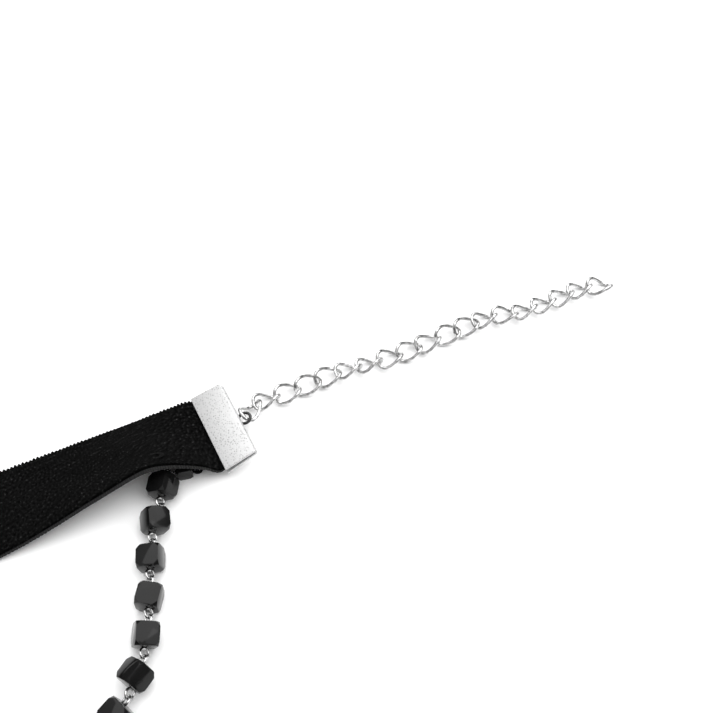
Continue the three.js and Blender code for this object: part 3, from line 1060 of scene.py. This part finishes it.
@dataclass
class Crimp:
    """Sheet folded over the ribbon's end, with its lug ring on a short neck."""

    course: Course
    end: End
    node: str
    depth: float = 6.8
    sheet: float = 0.45
    crushed: float = 0.6
    clear: float = 0.2
    hollow: float = 1.7
    fold_hollow: float = 0.4
    fold_steps: int = 14
    overhang: float = 0.5
    corner: float = 1.5
    lesser_corner: float = 0.3
    edge_round: float = 0.1
    sharp_angle: float = 40.0
    lug_radius: float = 1.1
    lug_wire: float = 0.55
    lug_offset: float = 0.8
    neck_wires: tuple[float, float, float] = (1.6, 1.8, 0.8)
    neck_lift: float = 0.1
    lip: float = 0.4
    nudge: tuple[float, float] = (0.0, 0.0)
    turns: tuple[float, float, float] = (0.0, 0.0, 0.0)

    @property
    def lug_reach(self) -> float:
        """Distance from the crimp's mouth to the middle of the lug ring."""
        return self.depth + self.lug_radius - self.lug_wire / 2

    def lug_centre(self) -> Vector:
        """Middle of the lug ring on the table."""
        axes = self.course.crimp_axes(self.end)
        return axes.point + axes.along * self.lug_reach + axes.across * self.lug_offset

    def plates(self, upper: float) -> bpy.types.Object:
        """Folds the sheet, in the crimp's own millimetres.

        Args:
            upper: 1 or -1, the side of Y on which the ribbon's upper edge lies.

        Returns:
            The folded sheet.
        """
        width = self.course.width + 2 * self.overhang
        radius = (self.fold_hollow + self.sheet) / 2
        fold = self.depth - radius - self.sheet / 2
        middle = (self.hollow + self.sheet) / 2
        mouth = (self.crushed + self.sheet) / 2 + self.clear
        reach = fold - self.lip
        rise = (middle - mouth) * reach / fold
        fall = (mouth + middle - 2 * radius) * reach / fold
        plate = Bench.fresh("plate", bpy.ops.mesh.primitive_plane_add, size=1.0, location=(0, 0, 0))
        with Bench.edit(plate):
            bpy.ops.mesh.select_all(action="SELECT")
            bpy.ops.transform.resize(value=(reach, width, 1))
            bpy.ops.transform.translate(value=(self.lip + reach / 2, 0, middle))
            Bench.pick(plate, "verts", lambda v: v.co.x < fold / 2)
            bpy.ops.transform.translate(value=(0, 0, -rise))
            Bench.pick(plate, "edges", lambda e: all(v.co.x > fold / 2 for v in e.verts))
            bpy.ops.mesh.spin(
                steps=self.fold_steps, angle=-math.pi, center=(fold, 0, middle - radius), axis=(0, 1, 0))
            Bench.pick(plate, "edges", lambda e: all(
                abs(v.co.x - fold) < CLOSE and v.co.z < middle - radius for v in e.verts))
            bpy.ops.mesh.extrude_edges_move(TRANSFORM_OT_translate={"value": (-reach, 0, -fall)})
        for vertex in plate.data.vertices:
            corner = self.corner if vertex.co.y * upper > 0 else self.lesser_corner
            past = min(max(vertex.co.x - (self.depth - self.sheet / 2 - corner), 0), corner)
            cut = corner - math.sqrt(corner ** 2 - past ** 2)
            vertex.co.y = math.copysign(abs(vertex.co.y) - cut, vertex.co.y)
        Bench.modify(plate, "SOLIDIFY", thickness=self.sheet, offset=0.0, use_even_offset=True)
        Bench.round_edges(plate, self.edge_round, segments=3, degrees=50)
        return plate

    def lug(self, lower: float) -> bpy.types.Object:
        """Makes the lug ring and its neck, in the crimp's own millimetres.

        Args:
            lower: 1 or -1, the side of Y on which the ribbon's lower edge lies.

        Returns:
            The ring joined with its neck.
        """
        ring = Bench.fresh(
            "lug", bpy.ops.mesh.primitive_torus_add, major_segments=32, minor_segments=14,
            major_radius=self.lug_radius, minor_radius=self.lug_wire / 2, location=(0, 0, 0))
        ring.data.transform(Matrix.Translation((self.lug_reach, lower * self.lug_offset, 0)))
        neck = Bench.fresh("neck", bpy.ops.mesh.primitive_cylinder_add, vertices=20, radius=0.5, depth=1.0,
                           location=(0, 0, 0), rotation=(0, math.pi / 2, 0))
        with Bench.edit(neck):
            bpy.ops.mesh.select_all(action="SELECT")
            bpy.ops.transform.resize(value=tuple(wires * self.lug_wire for wires in self.neck_wires))
            bpy.ops.transform.translate(
                value=(self.depth - self.lug_wire, lower * self.lug_offset, self.neck_lift))
        return Bench.join([ring, neck], "lug")

    def build(self, material: bpy.types.Material, lug_painted_shade: bpy.types.Material) -> bpy.types.Object:
        """Makes the crimp and its lug and sets them on the ribbon's end.

        Args:
            material: the dimpled sheet.
            lug_painted_shade: the lug's metal, painted near-black as painted shade and dark reflection
                inside the ring.

        Returns:
            The folded sheet.
        """
        axes = self.course.crimp_axes(self.end)
        side = axes.normal.cross(axes.along)
        lower = math.copysign(1, side.dot(axes.across))
        plate = self.plates(-lower)
        lug = self.lug(lower)
        matrix = frame_matrix(axes.point, axes.along, side, axes.normal)
        yaw, pitch, lean = (math.radians(turn) for turn in self.turns)
        turned = (Matrix.Translation((self.nudge[0], lower * self.nudge[1], 0))
                  @ Matrix.Rotation(yaw, 4, "Z") @ Matrix.Rotation(-pitch, 4, "Y")
                  @ Matrix.Rotation(-lower * lean, 4, "X"))
        Bench.smooth(plate, self.sharp_angle)
        Bench.smooth(lug, ROUND_ANGLE)
        piece = Bench.copy(plate, self.node.replace("crimp", "folded_crimp"), matrix @ turned)
        ring = Bench.copy(lug, self.node.replace("crimp", "lug"), matrix)
        Bench.drop(plate)
        Bench.drop(lug)
        finished(ring, lug_painted_shade, Slot.CRIMP)
        return finished(piece, material, Slot.CRIMP, self.node)


# Chain


@dataclass
class Chain:
    """Extender chain of twisted links, laid out from the crimp's lug."""

    lug: Vector
    length: float = 5.6
    width: float = 4.1
    wire: float = 0.65
    play: float = 0.2
    twist: float = 45.0
    gap: float = 0.02
    height_steps: int = 40
    route: tuple = (
        (0.1, 0.4), (1.9, 4.3), (5.2, 5.5), (8.8, 7.2), (16.4, 10.9), (23.6, 13.2), (31.2, 16.8),
        (39.1, 20.7), (45.9, 24.1), (49.8, 24.4), (57.3, 27.5), (64.9, 31.2), (74, 31.9))
    rolls: tuple = (
        -15, -24, 8, 20, 8, -28, -34, -2, 9, -6, 22, 14, -22, -8, -28, -22, -12, -22, -9)

    def line(self, angle: float) -> Vector:
        """Centre line of a twisted link by angle.

        Args:
            angle: round the link, in radians.

        Returns:
            The point of the line.
        """
        long = (self.length - self.wire) / 2
        wide = (self.width - self.wire) / 2
        lift = wide / 2 * math.tan(math.radians(self.twist))
        return Vector((long * math.cos(angle), wide * math.sin(angle), -lift * math.sin(2 * angle)))

    def height(self, roll: float) -> float:
        """Height of a rolled link's middle above the table.

        Args:
            roll: degrees about the link's length.

        Returns:
            The height.
        """
        turn = math.radians(roll)
        places = [self.line(2 * math.pi * i / self.height_steps) for i in range(self.height_steps)]
        highest = max(p.y * math.sin(turn) + p.z * math.cos(turn) for p in places)
        return highest + self.wire / 2 + self.gap

    def build(self, material: bpy.types.Material) -> None:
        """Makes every link, in order from the crimp.

        Args:
            material: the wire's metal.
        """
        chosen = [Vector((self.lug.x + x, self.lug.y + y, 0)) for x, y in self.route]
        pitch = self.length - 2 * self.wire - self.play
        joints = walk(smooth_route(chosen), pitch, len(self.rolls))
        heights = [self.height(roll) for roll in self.rolls]
        joints[0].z = self.lug.z
        for i in range(1, len(joints)):
            joints[i].z = max(heights[i - 1], heights[min(i, len(heights) - 1)])
        master = Bench.wire_loop("link_master", self.line, self.wire, cuts=4, sides=4)
        Bench.smooth(master, ROUND_ANGLE)
        for i, roll in enumerate(self.rolls):
            number = f"{i + 1:02d}"
            link = Bench.copy(master, f"twisted_link_{number}", line_frame(joints[i], joints[i + 1], roll))
            finished(link, material, Slot.WIRE, f"chain_link_{number}")
        Bench.drop(master)


# Bead string


class Half(Enum):
    """The string's two halves."""

    A = "a"
    B = "b"


@dataclass
class BeadString:
    """Cut black beads on wire eyes, from under one end of the ribbon to under the other."""

    course: Course
    thread: bpy.types.Material
    size: float = 3.9
    flat: float = 0.6
    gap: float = 3.0
    pitch: float = 6.82607  # the solids' own, with which whole beads fill the route
    end_size: float = 2.8
    eye_radius: float = 0.8
    eye_wire: float = 0.5
    eye_press: float = 0.1
    eye_play: float = 0.15
    eye_roll: float = 45.0
    count: int = 38
    soft: float = 0.04
    sharp_angle: float = 25.0
    askew: float = 20.0
    inwards: float = 0.55
    across: float = 0.83
    tack_inwards: float = 0.2
    tack_across: float = 0.86
    rolls: tuple = (33, -32, 12, 0, -20, 38, 5, 26, -8, 40)
    route: tuple = (
        (0.079, 0.038), (0.159, 0.077), (0.246, 0.103), (0.334, 0.129), (0.447, 0.179),
        (0.559, 0.309), (0.515, 0.486), (0.36, 0.609), (0.225, 0.754), (0.204, 0.926),
        (0.299, 1.084), (0.475, 1.169), (0.679, 1.139), (0.839, 1.004), (0.897, 0.804),
        (0.841, 0.577), (0.793, 0.366), (0.776, 0.167), (0.833, 0.029))

    def spread(self, joint: int) -> float:
        """Distance from a joint to the middles of its two eyes.

        Args:
            joint: number of the joint.

        Returns:
            The distance.
        """
        tight = self.eye_radius - self.eye_wire / 2
        if joint == self.count // 2:
            return tight - self.eye_play / 2
        return tight + self.eye_press / 2

    def cut_bead(self, size: float) -> bpy.types.Object:
        """A cube with its corners cut off and its edges softened.

        Args:
            size: over the flats.

        Returns:
            The master bead.
        """
        cube = Bench.fresh("cube", bpy.ops.mesh.primitive_cube_add, size=size, location=(0, 0, 0))
        with Bench.edit(cube):
            bpy.ops.mesh.select_all(action="SELECT")
            bpy.ops.mesh.bevel(
                offset=size / 2 * (1 - self.flat), affect="VERTICES", offset_type="OFFSET", segments=1)
        Bench.round_edges(cube, self.soft, segments=2, degrees=20)
        Bench.smooth(cube, self.sharp_angle)
        return cube

    def joints(self) -> list[Vector]:
        """Joints of the string, at the height of the beads' middles.

        Returns:
            One joint more than the beads.
        """
        ends = [flat_point(self.course.under(end, self.inwards, self.across), self.size / 2) for end in End]
        chord = ends[1] - ends[0]
        aside = Z_AXIS.cross(chord)
        chosen = [ends[0] + chord * along - aside * out for along, out in self.route]
        return walk(smooth_route([ends[0], *chosen, ends[1]]), self.pitch, self.count)

    def eye_frame(self, joint: Vector, towards: Vector, roll: float, spread: float) -> Matrix:
        """Place of one wire eye, reaching from a joint back into its bead.

        Args:
            joint: the joint.
            towards: the bead's other joint.
            roll: degrees about that line.
            spread: from the joint to the eye's middle.

        Returns:
            The placing matrix.
        """
        matrix = line_frame(joint, towards, roll)
        matrix.translation = joint + (towards - joint).normalized() * spread
        return matrix

    def build(self, glass: bpy.types.Material, metal: bpy.types.Material) -> None:
        """Makes the beads and the wire eyes of both halves.

        Args:
            glass: the beads' material.
            metal: the wire eyes' material.
        """
        joints = self.joints()
        bead, small = self.cut_bead(self.size), self.cut_bead(self.end_size)
        ring = Bench.wire_loop("eye_master", round_line(self.eye_radius), self.eye_wire, cuts=2, sides=3)
        Bench.smooth(ring, ROUND_ANGLE)
        beads: dict[Half, list] = {half: [] for half in Half}
        eyes: dict[Half, list] = {half: [] for half in Half}
        rng = random.Random(SEED)
        for i in range(self.count):
            half = Half.A if i < self.count // 2 else Half.B
            roll = self.rolls[i % len(self.rolls)]
            turn = abs(math.radians(roll))
            height = self.size / 2 * (math.cos(turn) + math.sin(turn)) + self.course.gap
            placed = line_frame(flat_point(joints[i], height), flat_point(joints[i + 1], height), roll)
            beads[half].append(self.askew_copy(bead, placed, rng))
            for near, far, at in ((joints[i], joints[i + 1], i), (joints[i + 1], joints[i], i + 1)):
                frame_at = self.eye_frame(near, far, self.eye_roll, self.spread(at))
                eyes[half].append(Bench.copy(ring, "eye", frame_at))
        for half, end, joint in ((Half.A, End.CHAIN, joints[0]), (Half.B, End.CLASP, joints[-1])):
            self.end_bead(end, joint, small, ring, beads[half], eyes[half])
        for master in (bead, small, ring):
            Bench.drop(master)
        for half in Half:
            whole = Bench.join(beads[half], f"cut_beads_{half.value}")
            finished(whole, glass, Slot.GLASS, f"bead_string_{half.value}")
            finished(Bench.join(eyes[half], f"bead_eyes_{half.value}"), metal, Slot.WIRE)

    def askew_copy(self, bead: bpy.types.Object, placed: Matrix, rng: random.Random) -> bpy.types.Object:
        """A bead turned a little off its wire and set down on the table.

        Args:
            bead: the master bead.
            placed: its place on the string.
            rng: source of the turns.

        Returns:
            The placed bead.
        """
        for axis in ("Z", "Y"):
            placed = placed @ Matrix.Rotation(math.radians(rng.uniform(-self.askew, self.askew)), 4, axis)
        made = Bench.copy(bead, "bead", placed)
        lowest = min(vertex.co.z for vertex in made.data.vertices)
        made.data.transform(Matrix.Translation((0, 0, max(-lowest, 0))))
        return made

    def end_bead(self, end: End, joint: Vector, small: bpy.types.Object, ring: bpy.types.Object,
                 beads: list, eyes: list) -> None:
        """Adds the small bead at one end, its outer eye flat round the thread.

        Args:
            end: the ribbon's end.
            joint: the string's last joint.
            small: the small master bead.
            ring: the master eye.
            beads: list that takes the bead.
            eyes: list that takes its inner eye.
        """
        tack = self.course.under(end, self.tack_inwards, self.tack_across)
        axis = (flat_point(tack, joint.z) - joint).normalized() * (self.end_size + self.gap)
        held = flat_point(joint + axis, self.eye_wire + self.course.gap)
        height = self.end_size / 2 + self.course.gap
        placed = line_frame(flat_point(held, height), flat_point(joint, height), 0)
        beads.append(Bench.copy(small, "bead", placed))
        tight = self.eye_radius - self.eye_wire / 2 + self.eye_press / 2
        wrapped = Bench.copy(ring, f"thread_wrap_{'ab'[end.value]}", self.eye_frame(held, joint, 0, tight))
        finished(wrapped, self.thread, Slot.THREAD)
        eyes.append(Bench.copy(ring, "eye", self.eye_frame(joint, held, self.eye_roll, tight)))


# Clasp


@dataclass
class ClaspSet:
    """Jump ring standing through the clasp crimp's lug, and the clasp on it."""

    crimp: Crimp
    radius: float = 2.2
    wire: float = 0.7
    play: float = 0.2
    length: float = 10.0
    width: float = 5.6
    thick: float = 2.2
    rim: float = 1.35
    eye_radius: float = 1.15
    eye_wire: float = 0.6
    soft: float = 0.5

    def outwards(self) -> Vector:
        """Flat direction out of the ribbon's end."""
        return flat_point(self.crimp.course.crimp_axes(End.CLASP).along, 0).normalized()

    def ring_centre(self) -> Vector:
        """Middle of the jump ring.

        Returns:
            The middle, at the height at which the ring stands.
        """
        room = self.crimp.lug_radius - (self.crimp.lug_wire + self.wire) / 2
        centre = self.crimp.lug_centre() + self.outwards() * (room / 2 + self.radius)
        return flat_point(centre, self.radius + self.wire / 2 + self.crimp.course.gap)

    def jump_ring(self, metal: bpy.types.Material) -> bpy.types.Object:
        """Makes the jump ring.

        Args:
            metal: the wire's metal.

        Returns:
            The finished ring.
        """
        master = Bench.wire_loop("jump_master", round_line(self.radius), self.wire, cuts=4, sides=4)
        Bench.smooth(master, ROUND_ANGLE)
        out = self.outwards()
        matrix = frame_matrix(self.ring_centre(), out, Z_AXIS, -Z_AXIS.cross(out))
        piece = Bench.copy(master, "round_jump_ring", matrix)
        Bench.drop(master)
        return finished(piece, metal, Slot.WIRE, "jump_ring")

    def clasp(self, metal: bpy.types.Material) -> bpy.types.Object:
        """Makes the plain oval clasp with its eye.

        Args:
            metal: the wire's metal.

        Returns:
            The finished clasp.
        """
        start = self.eye_radius - self.eye_wire / 2
        body = Bench.fresh("clasp_body", bpy.ops.mesh.primitive_cylinder_add, vertices=56, radius=0.5,
                           depth=self.thick, location=(0, 0, 0))
        with Bench.edit(body):
            bpy.ops.mesh.select_all(action="SELECT")
            bpy.ops.transform.resize(value=(self.length, self.width, 1))
            Bench.pick(body, "faces", lambda f: abs(f.normal.z) > LEVEL)
            bpy.ops.mesh.inset(thickness=self.rim)
            bpy.ops.mesh.bridge_edge_loops()
        Bench.round_edges(body, self.soft, segments=4, degrees=50)
        body.data.transform(Matrix.Translation((start + self.length / 2, 0, 0)))
        eye = Bench.wire_loop("clasp_eye", round_line(self.eye_radius), self.eye_wire, cuts=3, sides=4)
        whole = Bench.join([body, eye], "clasp_master")
        Bench.smooth(whole, self.crimp.sharp_angle)
        out = self.outwards()
        height = self.thick / 2 + self.crimp.course.gap
        centre = self.ring_centre()
        reach = math.sqrt(self.radius ** 2 - (centre.z - height) ** 2) + self.play / 2
        matrix = frame_matrix(flat_point(centre + out * reach, height), out, Z_AXIS.cross(out), Z_AXIS)
        piece = Bench.copy(whole, "oval_clasp", matrix)
        Bench.drop(whole)
        return finished(piece, metal, Slot.WIRE, "clasp")


# Studio


@dataclass
class Studio:
    """White table, soft light and the camera."""

    table_size: float = 3.0
    camera_place: tuple[float, float, float] = (0.034454, -0.075616, 0.18838)
    elevation: float = 55.0
    lens: float = 61.32
    sensor: float = 36.0
    clip_start: float = 0.005
    sky: float = 0.85
    sky_stops: tuple = ((0.0, 0.12), (0.28, 0.2), (0.6, 1.0))
    key_place: tuple[float, float, float] = (0.17, 0.42, 0.95)
    key_size: float = 1.7
    key_power: float = 16.4
    side_place: tuple[float, float, float] = (0.7, -0.1, 0.6)
    side_size: float = 0.5
    side_power: float = 0.8

    def build(self) -> None:
        """Sets the table, the lights and the camera."""
        table = Bench.fresh("table_top", bpy.ops.mesh.primitive_plane_add, size=self.table_size)
        table.data.materials.append(TableFinish().build())
        self.light("key_light", self.key_place, self.key_size, self.key_power)
        self.light("side_light", self.side_place, self.side_size, self.side_power)
        self.sky_dome()
        view = bpy.context.scene.view_settings
        view.view_transform = "Standard"
        view.look = "None"
        self.camera()

    def sky_dome(self) -> None:
        """Pale surroundings, darker towards the horizon."""
        world = bpy.data.worlds.new("studio_surroundings")
        world.use_nodes = True
        bpy.context.scene.world = world
        nodes, links = world.node_tree.nodes, world.node_tree.links
        place = nodes.new("ShaderNodeTexCoord")
        split = nodes.new("ShaderNodeSeparateXYZ")
        ramp = nodes.new("ShaderNodeValToRGB")
        Shader.set_stops(ramp.color_ramp, [(place_up, grey(level)) for place_up, level in self.sky_stops])
        links.new(place.outputs["Generated"], split.inputs[0])
        links.new(split.outputs["Z"], ramp.inputs[0])
        links.new(ramp.outputs[0], nodes["Background"].inputs["Color"])
        nodes["Background"].inputs["Strength"].default_value = self.sky

    @staticmethod
    def light(name: str, place: tuple[float, float, float], size: float, power: float) -> None:
        """Adds one square soft light that faces the necklace.

        Args:
            name: the light's name.
            place: in metres.
            size: side of the square, in metres.
            power: in watts.
        """
        data = bpy.data.lights.new(name, "AREA")
        data.size = size
        data.energy = power
        lamp = bpy.data.objects.new(name, data)
        bpy.context.scene.collection.objects.link(lamp)
        lamp.location = place
        lamp.rotation_euler = (-Vector(place)).to_track_quat("-Z", "Y").to_euler()

    def camera(self) -> None:
        """Sets the camera at the photograph's angle."""
        data = bpy.data.cameras.new("camera")
        data.lens = self.lens
        data.sensor_width = self.sensor
        data.clip_start = self.clip_start
        camera = bpy.data.objects.new("camera", data)
        bpy.context.scene.collection.objects.link(camera)
        camera.location = self.camera_place
        camera.rotation_euler = (math.radians(90 - self.elevation), 0, 0)
        bpy.context.scene.camera = camera


def main() -> None:
    """Builds the necklace piece by piece."""
    logging.basicConfig(level=logging.INFO, format="%(name)s %(message)s")
    velvet, dimpled = VelvetFinish().build(), DimpledFinish().build()
    metal, glass, thread = WireFinish().build(), GlassFinish().build(), ThreadFinish().build()
    # The lug's metal is painted near-black: painted shade and dark reflection inside the lug ring, the same
    # metal as the crimp.
    lug_painted_shade = WireFinish("lug_painted_shade_metal", colour=0.07, shade=0.02).build()
    course = Course()
    ribbon = Ribbon(course).build(velvet)
    crimps = [Crimp(course, End.CHAIN, "crimp_chain_end", nudge=(0.2, 0.62), turns=(1.0, 2.4, 1.0)),
              Crimp(course, End.CLASP, "crimp_clasp_end", nudge=(0.0, 0.5))]
    folded = [crimp.build(dimpled, lug_painted_shade) for crimp in crimps]
    Chain(crimps[0].lug_centre()).build(metal)
    BeadString(course, thread).build(glass, metal)
    clasp = ClaspSet(crimps[1])
    clasp.jump_ring(metal)
    clasp.clasp(metal)
    Knot(course).build(thread)
    for name in ("thread_tack_a", "thread_tack_b"):
        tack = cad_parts[name]
        tack.data.materials.clear()
        tack.data.materials.append(thread)
    course.width * MM
    Studio().build()


if __name__ == "__main__":
    main()
